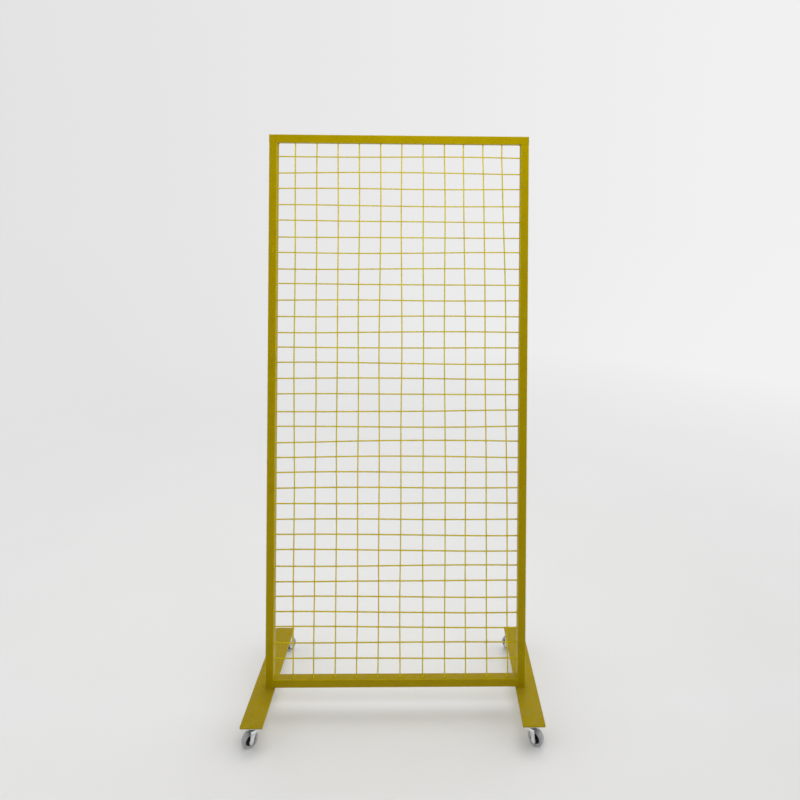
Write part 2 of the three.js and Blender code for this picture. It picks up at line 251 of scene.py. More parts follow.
def upright_stray(tree, given, place):
    """Sideways stray of the upright wires: those on the right lean outward towards the bottom."""
    turns = {"Top": (0.13, 0.33), "Bottom": (-0.05, 0.12)}  # where the stray changes, right of the middle
    early = 0.7
    part = add(tree, "ShaderNodeSeparateXYZ", {0: place}).outputs
    strays = [add(tree, "ShaderNodeMapRange", {0: part["X"], 1: left, 2: right, 3: given[f"{end} Left Stray"],
                                               4: given[f"{end} Right Stray"]})
              for end, (left, right) in turns.items()]
    down = add(tree, "ShaderNodeMapRange", {0: part["Z"], 1: given["Top"], 2: given["Bottom"]})
    share = add(tree, "ShaderNodeMath", {0: down, 1: early}, operation="POWER")
    blend = add(tree, "ShaderNodeMix", {0: share, 2: strays[0], 3: strays[1]})
    waver = wander(tree, given, place, (37.0, 0.0, 0.5), given["Upright Waver"])
    return add(tree, "ShaderNodeCombineXYZ", {
        "X": add(tree, "ShaderNodeMath", {0: blend, 1: waver}, operation="ADD")})


def cross_stray(tree, given, place):
    """Upward stray of the cross wires: the middle ones sit a little low."""
    part = add(tree, "ShaderNodeSeparateXYZ", {0: place}).outputs
    up = add(tree, "ShaderNodeMath", {0: part["Z"], 1: given["Top"]}, operation="DIVIDE")
    bow = add(tree, "ShaderNodeMath", {0: up, 1: up, 2: -1.0}, operation="MULTIPLY_ADD")
    waver = wander(tree, given, place, (0.35, 0.0, 41.0), given["Cross Waver"])
    return add(tree, "ShaderNodeCombineXYZ", {
        "Z": add(tree, "ShaderNodeMath", {0: bow, 1: given["Sag"], 2: waver}, operation="MULTIPLY_ADD")})


def mesh_tree():
    """Welded wire mesh in the XZ plane: upright wires in front, cross wires behind, with their welds."""
    numbers = ("Wire_Radius", "Width", "Height", "Crossing_Height", "Top", "Bottom", "Nugget", "End_Tack",
               "Upright_Waver", "Cross_Waver", "Top_Left_Stray", "Top_Right_Stray", "Bottom_Left_Stray",
               "Bottom_Right_Stray", "Sag", "Seed")
    places = dict.fromkeys(("First", "Step", "Start", "End"), "Vector")
    wires = {f"{kind}_{label}": socket for kind in ("Upright", "Cross")
             for label, socket in {"Count": "Int", **places}.items()}
    tree, given = new_tree("welded_wire_mesh", Middle="Vector", **wires, **dict.fromkeys(numbers, "Float"))

    def blobs(points, radius, squash=(1.0, 1.0, 1.0), selection=True):
        least, most = 0.82, 1.12
        size = add(tree, "FunctionNodeRandomValue", {
            0: [least * s for s in squash], 1: [most * s for s in squash], "Seed": 7},
            data_type="FLOAT_VECTOR")
        return add(tree, "GeometryNodeInstanceOnPoints", {
            "Points": points, "Instance": smooth_ball(tree, radius), "Scale": size, "Selection": selection})

    def bent_wires(kind, stray, points):
        line = add(tree, "GeometryNodeMeshLine", {
            "Count": given[f"{kind} Count"], "Start Location": given[f"{kind} First"],
            "Offset": given[f"{kind} Step"]})
        wire = add(tree, "GeometryNodeCurvePrimitiveLine", {
            "Start": given[f"{kind} Start"], "End": given[f"{kind} End"]})
        fine = add(tree, "GeometryNodeResampleCurve", {"Curve": wire, "Count": points})
        copies = add(tree, "GeometryNodeInstanceOnPoints", {"Points": line, "Instance": fine})
        real = add(tree, "GeometryNodeRealizeInstances", {0: copies})
        place = add(tree, "GeometryNodeInputPosition")
        bent = add(tree, "GeometryNodeSetPosition", {"Geometry": real, "Offset": stray(tree, given, place)})
        section = add(tree, "GeometryNodeCurvePrimitiveCircle", {
            "Resolution": 10, "Radius": given["Wire Radius"]})
        solid = add(tree, "GeometryNodeCurveToMesh", {
            "Curve": bent, "Profile Curve": section, "Fill Caps": True})
        ends = add(tree, "GeometryNodeCurveEndpointSelection")
        return (add(tree, "GeometryNodeSetShadeSmooth", {0: solid}).outputs[0],
                blobs(bent, given["End Tack"], selection=ends).outputs[0])

    uprights, upright_ends = bent_wires("Upright", upright_stray, 40)
    crosses, cross_ends = bent_wires("Cross", cross_stray, 16)
    grid = add(tree, "GeometryNodeMeshGrid", {
        "Size X": given["Width"], "Size Y": given["Height"],
        "Vertices X": given["Upright Count"], "Vertices Y": given["Cross Count"]})
    lift = add(tree, "ShaderNodeCombineXYZ", {"Z": given["Crossing Height"]})
    standing = add(tree, "GeometryNodeTransform", {
        "Geometry": grid, "Rotation": (QUARTER, 0.0, 0.0), "Translation": lift})
    place = add(tree, "GeometryNodeInputPosition")
    stray = add(tree, "ShaderNodeVectorMath", {
        0: upright_stray(tree, given, place), 1: cross_stray(tree, given, place)}, operation="ADD")
    crossings = add(tree, "GeometryNodeSetPosition", {"Geometry": standing, "Offset": stray})
    nuggets = blobs(crossings, given["Nugget"], (1.0, 0.78, 1.0)).outputs[0]
    placed = [add(tree, "GeometryNodeTransform", {"Geometry": part, "Translation": given["Middle"]})
              for part in (uprights, crosses, upright_ends, cross_ends, nuggets)]
    return end_tree(tree, given, *(part.outputs[0] for part in placed))


def bead_tree():
    """A fillet weld along each path: overlapping ripples, flattened along the path."""
    tree, given = new_tree("weld_bead", Radius="Float", Step="Float", Seed="Int")
    path = add(tree, "GeometryNodeMeshToCurve", {0: given["Geometry"]})
    steps = add(tree, "GeometryNodeResampleCurve", {"Curve": path, "Length": given["Step"]}, mode="LENGTH")
    along = add(tree, "GeometryNodeInputTangent")
    turn = add(tree, "FunctionNodeAlignRotationToVector", {"Vector": along}, axis="Z")
    size = add(tree, "FunctionNodeRandomValue", {0: (0.88, 0.88, 0.5), 1: (1.08, 1.08, 0.62),
                                                 "Seed": given["Seed"]}, data_type="FLOAT_VECTOR")
    ripples = add(tree, "GeometryNodeInstanceOnPoints", {
        "Points": steps, "Instance": smooth_ball(tree, given["Radius"]), "Rotation": turn, "Scale": size})
    return end_tree(tree, given, ripples.outputs[0])


def copies_tree():
    """A copy of one piece on each point, each turned about the upright by chance."""
    tree, given = new_tree("copies_on_points", Piece="Object", Seed="Int")
    piece = add(tree, "GeometryNodeObjectInfo", {"Object": given["Piece"]}).outputs["Geometry"]
    turn = add(tree, "FunctionNodeRandomValue", {0: (0.0, 0.0, 0.0), 1: (0.0, 0.0, math.tau),
                                                 "Seed": given["Seed"]}, data_type="FLOAT_VECTOR")
    copies = add(tree, "GeometryNodeInstanceOnPoints", {
        "Points": given["Geometry"], "Instance": piece, "Rotation": turn})
    return end_tree(tree, given, copies.outputs[0])


def balls_tree():
    """A ring of loose balls, added between the two cups of a race."""
    tree, given = new_tree("race_balls", Count="Int", Ring_Radius="Float", Ball_Radius="Float",
                           Height="Float")
    ring = add(tree, "GeometryNodeMeshCircle", {"Vertices": given["Count"], "Radius": given["Ring Radius"]})
    balls = add(tree, "GeometryNodeInstanceOnPoints", {
        "Points": ring, "Instance": smooth_ball(tree, given["Ball Radius"])})
    lift = add(tree, "ShaderNodeCombineXYZ", {"Z": given["Height"]})
    lifted = add(tree, "GeometryNodeTransform", {"Geometry": balls, "Translation": lift})
    return end_tree(tree, given, given["Geometry"], lifted.outputs[0])


def ribs_tree():
    """Moulded ribs from the boss to the rim of a hub, added to the turned hub."""
    tree, given = new_tree("hub_ribs", Count="Int", Apart="Float", Inner="Vector", Outer="Vector",
                           Thickness="Float", Depth="Float", Corner="Float")
    spine = add(tree, "GeometryNodeCurvePrimitiveLine", {"Start": given["Inner"], "End": given["Outer"]})
    section = add(tree, "GeometryNodeCurvePrimitiveQuadrilateral", {
        "Width": given["Thickness"], "Height": given["Depth"]})
    rounded = add(tree, "GeometryNodeFilletCurve", {"Curve": section, "Count": 3, "Radius": given["Corner"]},
                  mode="POLY")
    rib = add(tree, "GeometryNodeCurveToMesh", {"Curve": spine, "Profile Curve": rounded, "Fill Caps": True})
    hub_middle = add(tree, "GeometryNodeMeshLine", {"Count": given["Count"], "Offset": (0.0, 0.0, 0.0)})
    index = add(tree, "GeometryNodeInputIndex")
    angle = add(tree, "ShaderNodeMath", {0: index, 1: given["Apart"]}, operation="MULTIPLY")
    turn = add(tree, "ShaderNodeCombineXYZ", {"Z": angle})
    ribs = add(tree, "GeometryNodeInstanceOnPoints", {
        "Points": hub_middle, "Instance": rib, "Rotation": turn})
    return end_tree(tree, given, given["Geometry"], ribs.outputs[0])


# Meshes

def link(name, data):
    """A new object in the scene, at the origin."""
    piece = bpy.data.objects.new(name, data)
    bpy.context.scene.collection.objects.link(piece)
    return piece


def plain(piece):
    """Turns what the piece's modifiers make into its plain mesh, and drops the modifiers."""
    depsgraph = bpy.context.evaluated_depsgraph_get()
    mesh = bpy.data.meshes.new_from_object(piece.evaluated_get(depsgraph), depsgraph=depsgraph)
    piece.modifiers.clear()
    piece.data = mesh
    return piece


def grown(name, tree, values, source=None):
    """A piece that a geometry tree makes, as a plain mesh."""
    piece = link(name, source or bpy.data.meshes.new(name))
    modifier = piece.modifiers.new(tree.name, "NODES")
    modifier.node_group = tree
    for item in tree.interface.items_tree:
        if item.in_out == "INPUT" and item.name in values:
            modifier[item.identifier] = values[item.name]
    return plain(piece)


def skin(name, rings, closed=False, capped=True):
    """A mesh over rings of (x, y, z, edge) points. A closed skin joins its last ring to its first."""
    bm = bmesh.new()
    edge = bm.verts.layers.float.new("edge")
    loops = []
    for ring in rings:
        loops.append([bm.verts.new(point[:3]) for point in ring])
        for vertex, point in zip(loops[-1], ring):
            vertex[edge] = point[3]
    pairs = list(zip(loops, loops[1:]))
    if closed:
        pairs.append((loops[-1], loops[0]))
    elif capped:
        bm.faces.new(loops[0])
        bm.faces.new(loops[-1])
    for low, high in pairs:
        for i, corner in enumerate(low):
            j = (i + 1) % len(low)
            bm.faces.new((corner, low[j], high[j], high[i]))
    bmesh.ops.remove_doubles(bm, verts=bm.verts, dist=0.002 * MM)
    bmesh.ops.recalc_face_normals(bm, faces=bm.faces)
    mesh = bpy.data.meshes.new(name)
    bm.to_mesh(mesh)
    bm.free()
    return mesh


def shade(piece, angle=32):
    """Smooth shading that keeps flat faces flat and sharp edges sharp."""
    piece.data.shade_smooth()
    piece.data.set_sharp_from_angle(angle=math.radians(angle))
    weighted = piece.modifiers.new("weighted", "WEIGHTED_NORMAL")
    weighted.keep_sharp = True
    return plain(piece)


def rounded_outline(width, height, corner, steps=6):
    """Points (x, y, edge) around a rectangle with round corners; edge is 1 at the middle of a corner."""
    points = []
    for quarter, (sx, sy) in enumerate([(1, -1), (1, 1), (-1, 1), (-1, -1)]):
        for k in range(steps + 1):
            angle = (quarter - 1 + k / steps) * QUARTER
            points.append((sx * (width / 2 - corner) + corner * math.cos(angle),
                           sy * (height / 2 - corner) + corner * math.sin(angle),
                           math.sin(math.pi * k / steps)))
    return points


def outline_ring(width, height, corner, inset, z, edge=None):
    """One ring of a tube or slab, moved in by inset."""
    outline = rounded_outline(width - 2 * inset, height - 2 * inset, max(corner - inset, 0.1 * MM))
    return [(x, y, z, bend if edge is None else edge) for x, y, bend in outline]


def slab(name, width, height, low, high, corner, edge, steps=3):
    """A flat bar with round corners and rounded edges."""
    rings = []
    for k in range(steps + 1):
        angle = k / steps * QUARTER
        rings.append(outline_ring(width, height, corner, edge * (1 - math.sin(angle)),
                                  low + edge * (1 - math.cos(angle)), math.sin(2 * angle)))
    rings += [[(x, y, high + low - z, w) for x, y, z, w in ring] for ring in reversed(rings)]
    return skin(name, rings)


def filleted(points, closed, steps=4):
    """An outline with its corners rounded: points are (x, y, radius), and the result is (x, y)."""
    result = []
    for i, (x, y, radius) in enumerate(points):
        here = Vector((x, y))
        if radius == 0 or (not closed and i in (0, len(points) - 1)):
            result.append(here)
            continue
        back = Vector(points[i - 1][:2]) - here
        ahead = Vector(points[(i + 1) % len(points)][:2]) - here
        half = back.angle(ahead) / 2
        run = min(radius / math.tan(half), 0.49 * back.length, 0.49 * ahead.length)
        round_radius = run * math.tan(half)
        start, end = here + run * back.normalized(), here + run * ahead.normalized()
        centre = here + (back.normalized() + ahead.normalized()).normalized() * round_radius / math.sin(half)
        for k in range(steps + 1):
            ray = (start - centre).lerp(end - centre, k / steps).normalized()
            result.append(centre + round_radius * ray)
    return result


def round_rings(points, sides=36):
    """Rings of a solid of revolution about Z from (radius, z) points."""
    return [[(radius * math.cos(math.tau * k / sides), radius * math.sin(math.tau * k / sides), z, 0.0)
             for k in range(sides)] for radius, z in points]


def turned(name, points, closed=False, sides=48, steps=4):
    """A solid of revolution about Z from (radius, z, fillet) points."""
    return skin(name, round_rings(filleted(points, closed, steps), sides), closed)


def both_sides(half):
    """A closed profile from its upper half, mirrored in Z = 0."""
    return half + [(radius, -z, fillet) for radius, z, fillet in reversed(half)]


def hexagon_rings(flats, low, high, sides=36):
    """Rings of a hexagon whose corners are chamfered at both ends, from low to high."""
    round_face, slope = 0.95 * flats / 2, math.tan(math.radians(30))
    rings = [[], [], [], []]
    for k in range(sides):
        angle = math.tau * k / sides
        reach = flats / 2 / math.cos((angle + math.pi / 6) % (math.pi / 3) - math.pi / 6)
        drop = (reach - round_face) * slope
        places = ((round_face, low), (reach, low + drop), (reach, high - drop), (round_face, high))
        for ring, (radius, z) in zip(rings, places):
            ring.append((radius * math.cos(angle), radius * math.sin(angle), z, 0.0))
    return rings


def thread(radius, low, high, pitch):
    """Points (radius, z) up a threaded shank, drawn as ridges one pitch apart."""
    depth, turns = 0.3 * pitch, int((high - low) / pitch)
    points = []
    for i in range(turns):
        points += [(radius - depth, low + i * pitch), (radius, low + (i + 0.5) * pitch)]
    return points + [(radius - depth, low + turns * pitch)]


def nut_mesh(sizes, pin, low, high):
    """A hexagon nut about Z with a threaded bore for a pin of this radius."""
    bore, sink = pin + BORE_PLAY, 0.5 * MM
    inside = list(reversed(thread(bore, low + sink, high - sink, sizes.thread_pitch)))
    bore_rings = round_rings([(bore + sink, high), *inside, (bore + sink, low)])
    return skin("nut", hexagon_rings(sizes.nut_flats, low, high) + bore_rings, closed=True)


def points_mesh(spots):
    """A mesh of loose points."""
    mesh = bpy.data.meshes.new("spots")
    mesh.from_pydata(spots, [], [])
    return mesh


def cut_sheet(outlines, thickness, edge):
    """A plate about Z = 0 with rounded edges. The first outline is its rim, the others are holes."""
    curve = bpy.data.curves.new("plate_outline", "CURVE")
    curve.dimensions, curve.fill_mode = "2D", "BOTH"
    curve.extrude = thickness / 2 - edge
    curve.bevel_depth, curve.bevel_resolution, curve.offset = edge, 2, -edge
    for outline in outlines:
        spline = curve.splines.new("POLY")
        spline.points.add(len(outline) - 1)
        spline.use_cyclic_u = True
        for point, (x, y) in zip(spline.points, outline):
            point.co = (x, y, 0, 1)
    blank = link("plate_blank", curve)
    depsgraph = bpy.context.evaluated_depsgraph_get()
    mesh = bpy.data.meshes.new_from_object(blank.evaluated_get(depsgraph))
    bpy.data.objects.remove(blank)
    bm = bmesh.new()
    bm.from_mesh(mesh)
    bmesh.ops.remove_doubles(bm, verts=bm.verts, dist=0.01 * MM)
    bmesh.ops.recalc_face_normals(bm, faces=bm.faces)
    bm.to_mesh(mesh)
    bm.free()
    return mesh


def fork_mesh(sizes, castor, half_width, top):
    """The outer skin of a fork: up one leg, round the bend, over the crown and down the other leg."""
    axle, trail, eye, leg = castor.axle_height, castor.trail, sizes.fork_eye, sizes.fork_leg
    bend, crown = sizes.fork_bend, sizes.fork_crown
    leg_middle, leg_top, crown_edge = trail - sizes.fork_lean, top - bend, half_width - bend
    eye_steps, leg_steps, bend_steps, columns = 6, 12, 8, 14
    flare_from, flare, front_hollow = 0.72, 4 * MM, 1.6 * MM
    stations = []
    for k in range(eye_steps + 1):
        angle = math.radians(78) * (1 - k / eye_steps)
        half = eye * math.cos(angle)
        stations.append((half_width, axle - eye * math.sin(angle), trail - half, trail + half))
    for k in range(1, leg_steps + 1):
        share = k / leg_steps
        middle = trail + (leg_middle - trail) * share
        half = eye + (leg - eye) * share
        flared = max(0.0, (share - flare_from) / (1 - flare_from)) ** 2 * flare
        stations.append((half_width, axle + (leg_top - axle) * share, middle - half - flared, middle + half))
    leg_back, leg_front = stations[-1][2:]
    crown_back = -math.sqrt(crown ** 2 - crown_edge ** 2)
    for k in range(1, bend_steps + 1):
        angle = k / bend_steps * QUARTER
        blend = math.sin(angle) ** 1.5
        stations.append((crown_edge + bend * math.cos(angle), leg_top + bend * math.sin(angle),
                         leg_back + (crown_back - leg_back) * blend, leg_front))
    for k in range(1, bend_steps + 1):
        y = crown_edge * (1 - k / bend_steps)
        front = leg_front - front_hollow * (1 - (y / crown_edge) ** 2)
        stations.append((y, top, -math.sqrt(crown ** 2 - y * y), front))
    stations += [(-y, z, back, front) for y, z, back, front in reversed(stations[:-1])]

    row = columns + 1
    points = [(back + (front - back) * c / columns, y, z)
              for y, z, back, front in stations for c in range(row)]
    corners = [r * row + c for r in range(len(stations) - 1) for c in range(columns)]
    mesh = bpy.data.meshes.new("fork_sheet")
    mesh.from_pydata(points, [], [(i, i + 1, i + 1 + row, i + row) for i in corners])
    if mesh.polygons[len(mesh.polygons) // 2].normal.z < 0:
        mesh.flip_normals()
    return mesh


# Materials

def new_material(name):
    """A material cleared down to its texture coordinates, its tree, and the place on the piece."""
    material = bpy.data.materials.get(name) or bpy.data.materials.new(name)
    material.use_nodes = True
    material.node_tree.nodes.clear()
    place = add(material.node_tree, "ShaderNodeTexCoord").outputs["Object"]
    return material, material.node_tree, place


def grain(tree, place, size, detail, stretch=(1.0, 1.0, 1.0)):
    """Noise whose patches are about size metres across."""
    mapped = add(tree, "ShaderNodeMapping", {"Vector": place, "Scale": stretch})
    return add(tree, "ShaderNodeTexNoise", {"Vector": mapped, "Scale": 1 / size, "Detail": detail})


def patches(tree, place, size, detail, low, high, least=0.0, most=1.0, stretch=(1.0, 1.0, 1.0)):
    """Grain that gives least where it lies under low and most where it lies over high."""
    noise = grain(tree, place, size, detail, stretch)
    return add(tree, "ShaderNodeMapRange", {0: noise, 1: low, 2: high, 3: least, 4: most})


def layers(tree, ground, *coats):
    """A ground colour under coats of (colour, amounts). The amounts of a coat are multiplied."""
    result = list(ground)
    for coat, share, *further in coats:
        for amount in further:
            share = add(tree, "ShaderNodeMath", {0: share, 1: amount}, operation="MULTIPLY")
        result = add(tree, "ShaderNodeMix", {0: share, 6: result, 7: list(coat)}, data_type="RGBA").outputs[2]
    return result


def surface(tree, body, roughness, height, depth, **inputs):
    """Ends a material: a shader with a bump of the given depth."""
    bump = add(tree, "ShaderNodeBump", {"Height": height, "Distance": depth, "Strength": 1.0})
    shader = add(tree, "ShaderNodeBsdfPrincipled", {
        "Base Color": body, "Roughness": roughness, "Normal": bump,
        **{key.replace("_", " "): value for key, value in inputs.items()}})
    add(tree, "ShaderNodeOutputMaterial", {0: shader})


def powder_coat(finishes, name="powder_coated_steel", fresh=None, thick=None):
    """Polyester powder coat on steel, sprayed and baked: an even semi-gloss colour with fine orange
    peel, slightly uneven where the coat is thick, with a few fine scuffs and a film of dust on what
    lies level. The tube corners and rounded edges are painted brighter, partly worn coat and partly a
    painted highlight. Its metallic yellow pigment tints what it mirrors head-on."""
    material, tree, place = new_material(name)
    clouds = patches(tree, place, 55 * MM, 3.0, 0.35, 0.65)
    specks = patches(tree, place, 7 * MM, 4.0, 0.35, 0.7)
    # The edge attribute is 1 at the middles of tube corners and rounded plate edges, where the brighter
    # colour is laid on as wear and as a painted highlight.
    edge = add(tree, "ShaderNodeAttribute", attribute_name="edge").outputs["Fac"]
    rubbed_and_highlit = patches(tree, place, 30 * MM, 4.0, 0.3, 0.6, least=0.1, most=0.5)
    scuffs = patches(tree, place, 14 * MM, 5.0, 0.66, 0.72, most=0.22, stretch=(1.0, 5.0, 0.35))
    facing = add(tree, "ShaderNodeNewGeometry").outputs["Normal"]
    up = add(tree, "ShaderNodeSeparateXYZ", {0: facing}).outputs["Z"]
    level = add(tree, "ShaderNodeMapRange", {0: up, 1: 0.7, 2: 1.0})
    film = patches(tree, place, 20 * MM, 5.0, 0.4, 0.75, most=0.06)
    coat = layers(tree, fresh or finishes.paint, (thick or finishes.paint_dark, clouds, specks),
                  (finishes.paint_wear_and_highlight, edge, rubbed_and_highlit), (finishes.paint_wear_and_highlight, scuffs),
                  (finishes.dust, level, film))
    sheen = patches(tree, place, 24 * MM, 3.0, 0.3, 0.7, least=0.4, most=0.5)
    # Orange peel waves of real powder coat are about 2 mm long; they are drawn at 2.6 mm to show.
    peel = grain(tree, place, 2.6 * MM, 1.0)
    surface(tree, coat, sheen, peel, 0.05 * MM, IOR=1.5, Specular_Tint=list(finishes.paint_sheen))
    return material


def highlit_wire_coat(finishes):
    """The same powder coat on drawn wire, in lighter colours that paint in a highlight for the light the
    wires catch from the sides.
    """
    return powder_coat(finishes, "powder_coated_wire_highlit", finishes.highlit_wire_colour, finishes.highlit_thick_wire_colour)


def zinc_plate(finishes):
    """Pressed steel with bright zinc plate: silvery, with a soft cloudy lustre and fine press marks."""
    material, tree, place = new_material("bright_zinc_plated_steel")
    clouds = patches(tree, place, 9 * MM, 4.0, 0.35, 0.7)
    plate = layers(tree, finishes.zinc, (finishes.zinc_dull, clouds))
    lustre = patches(tree, place, 3 * MM, 4.0, 0.3, 0.7, least=0.24, most=0.42)
    # Press marks are finer than a tenth of a millimetre; they are drawn at 0.8 mm to show.
    marks = grain(tree, place, 0.8 * MM, 3.0, (1.0, 1.0, 0.3))
    surface(tree, plate, lustre, marks, 0.02 * MM, Metallic=1.0)
    return material


def moulded_plastic(finishes):
    """Injection-moulded polypropylene: black, with a fine eroded texture and some dust in it."""
    material, tree, place = new_material("moulded_black_polypropylene")
    dust = patches(tree, place, 6 * MM, 5.0, 0.45, 0.75)
    body = layers(tree, finishes.plastic, (finishes.plastic_worn, dust))
    gloss = patches(tree, place, 4 * MM, 2.0, 0.3, 0.7, least=0.4, most=0.55)
    # The eroded grain is about 0.2 mm; it is drawn at 0.5 mm to show.
    surface(tree, body, gloss, grain(tree, place, 0.5 * MM, 2.0), 0.02 * MM, IOR=1.49)
    return material


def tread_rubber(finishes):
    """Moulded thermoplastic rubber tread: light grey and matt, soiled in patches by the floor."""
    material, tree, place = new_material("grey_thermoplastic_rubber")
    dirt = patches(tree, place, 8 * MM, 6.0, 0.42, 0.7)
    body = layers(tree, finishes.rubber, (finishes.rubber_dirt, dirt))
    gloss = patches(tree, place, 5 * MM, 3.0, 0.3, 0.7, least=0.62, most=0.8)
    # Scuffs of a rolling tread are about 0.3 mm; they are drawn at 0.7 mm to show.
    surface(tree, body, gloss, grain(tree, place, 0.7 * MM, 4.0), 0.04 * MM, IOR=1.52)
    return material


def backdrop(tree, direction, finishes):
    """The even backdrop, slightly brighter to the right."""
    side = add(tree, "ShaderNodeVectorMath", {0: direction}, operation="NORMALIZE")
    across = add(tree, "ShaderNodeSeparateXYZ", {0: side}).outputs["X"]
    right = add(tree, "ShaderNodeMapRange", {0: across, 1: -0.6, 2: 0.6})
    return layers(tree, finishes.backdrop_left, (finishes.backdrop_right, right))


def studio_floor(finishes):
    """Matt painted studio floor that fades into the backdrop far from the object."""
    material, tree, place = new_material("matt_studio_floor")
    haze = patches(tree, place, 400 * MM, 3.0, 0.3, 0.7, most=0.03)
    paint = add(tree, "ShaderNodeBsdfPrincipled", {
        "Base Color": layers(tree, finishes.floor, (finishes.dust, haze)),
        "Roughness": 0.9, "Specular IOR Level": 0.1})
    glow = add(tree, "ShaderNodeEmission", {"Color": backdrop(tree, place, finishes), "Strength": 1.0})
    distance = add(tree, "ShaderNodeVectorMath", {0: place}, operation="LENGTH").outputs["Value"]
    far = add(tree, "ShaderNodeMapRange", {0: distance, 1: 1.4, 2: 5.0})
    faded = add(tree, "ShaderNodeMixShader", {0: far, 1: paint, 2: glow})
    add(tree, "ShaderNodeOutputMaterial", {0: faded})
    return material


MATERIALS = {
    "frame_paint": powder_coat,
    # The wire finish is the powder coat lightened as a painted highlight.
    "highlit_wire_colour": highlit_wire_coat,
    "zinc_plate": zinc_plate,
    "hub_plastic": moulded_plastic,
    "tyre_rubber": tread_rubber,
}
FINISHED = {}


def finish_of(slot):
    """The material for a slot, made the first time it is asked for."""
    if slot not in FINISHED:
        FINISHED[slot] = MATERIALS[slot](bpy.context.scene.panel_finishes)
    return FINISHED[slot]


def finished(mesh, name, slot, matrix=None):
    """A shaded piece from a mesh, in the slot's finish and with its place in the mesh."""
    if matrix is not None:
        mesh.transform(matrix)
    mesh.materials.append(finish_of(slot))
    return shade(link(name, mesh))


def hand_over(piece, body="root", replaced=()):
    """Lets the piece ride on its body and the frame's nodes that it stands for."""
    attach(piece, body)
    if replaced:
        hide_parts(*replaced)


def deliver(mesh, name, slot, matrix, body, *replaced):
    """Finishes a piece and hands it over."""
    hand_over(finished(mesh, name, slot, matrix), body, replaced)


# Places

class Castor:
    """Where one castor stands: its swivel axis, its heading and its axle, from the frame's joints."""

    def __init__(self, name):
        swivel = Vector(JOINTS[f"{name}_swivel_turn"]["pos_m"])
        axle = Vector(JOINTS[f"{name}_wheel_roll"]["pos_m"])
        trail = axle - swivel
        self.name = name
        self.trail = trail.xy.length
        self.axle_height = axle.z
        self.stand = Matrix.Translation((swivel.x, swivel.y, 0))
        self.turn = self.stand @ Matrix.Rotation(math.atan2(trail.y, trail.x), 4, "Z")
        self.on_axle = (self.turn @ Matrix.Translation((self.trail, 0, axle.z))
                        @ Matrix.Rotation(-QUARTER, 4, "X"))

    def box(self, node, matrix):
        """Lowest and highest corner of a node, in the given frame of this castor."""
        back = matrix.inverted()
        corners = [back @ v.co for v in frame["nodes"][f"{self.name}_{node}"].data.vertices]
        return (Vector([min(c[i] for c in corners) for i in range(3)]),
                Vector([max(c[i] for c in corners) for i in range(3)]))


def nut_middles(name):
    """Middles of a castor's four stud nuts."""
    boxes = [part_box(f"{name}_stud_nut_{i}") for i in range(1, 5)]
    return [(low + high) / 2 for low, high in boxes]


# Operators

class PanelOperator:
    """What the operators share"""
    bl_options = {"REGISTER", "UNDO"}


class PANEL_OT_tubes(PanelOperator, bpy.types.Operator):
    """Builds the posts and rails as square tube with round corners and deburred ends"""
    bl_idname = "mesh_panel.tubes"
    bl_label = "Tubes"

    def execute(self, context):
        sizes = context.scene.panel_frame
        burr, wall = sizes.tube_burr, sizes.tube_wall
        for node in ("top_rail", "bottom_rail", "left_post", "right_post"):
            low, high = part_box(node)
            span = high - low
            along = max(range(3), key=lambda i: span[i])
            order = [(along + 1) % 3, (along + 2) % 3, along]
            width, depth, reach = (span[i] for i in order)
            stations = ((burr, 0, 1.0), (0, burr, None), (0, reach - burr, None), (burr, reach, 1.0),
                        (wall, reach, 0.0), (wall, 0, 0.0))
            rings = [outline_ring(width, depth, sizes.tube_corner, inset, z, edge)
                     for inset, z, edge in stations]
            matrix = Matrix.Identity(4)
            for column, row in enumerate(order):
                for i in range(3):
                    matrix[i][column] = 1.0 if i == row else 0.0
            middle = (low + high) / 2
            middle[along] = low[along]
            matrix.translation = middle
            deliver(skin(node, rings, closed=True), f"{node}_tube", "frame_paint", matrix, "root", node)
        return {"FINISHED"}


class PANEL_OT_end_plates(PanelOperator, bpy.types.Operator):
    """Builds the plates that close the ends of the top rail"""
    bl_idname = "mesh_panel.end_plates"
    bl_label = "End Plates"

    def execute(self, context):
        sizes = context.scene.panel_frame
        corner = sizes.tube_corner - sizes.tube_wall
        facing_sideways = Matrix(((0, 0, 1, 0), (1, 0, 0, 0), (0, 1, 0, 0), (0, 0, 0, 1)))
        for side in ("left", "right"):
            node = f"top_rail_end_plate_{side}"
            low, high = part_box(node)
            span = high - low
            mesh = slab(node, span.y, span.z, -span.x / 2, span.x / 2, corner, sizes.end_plate_edge)
            matrix = Matrix.Translation((low + high) / 2) @ facing_sideways
            deliver(mesh, f"{node}_weld_in", "frame_paint", matrix, "root", node)
        return {"FINISHED"}


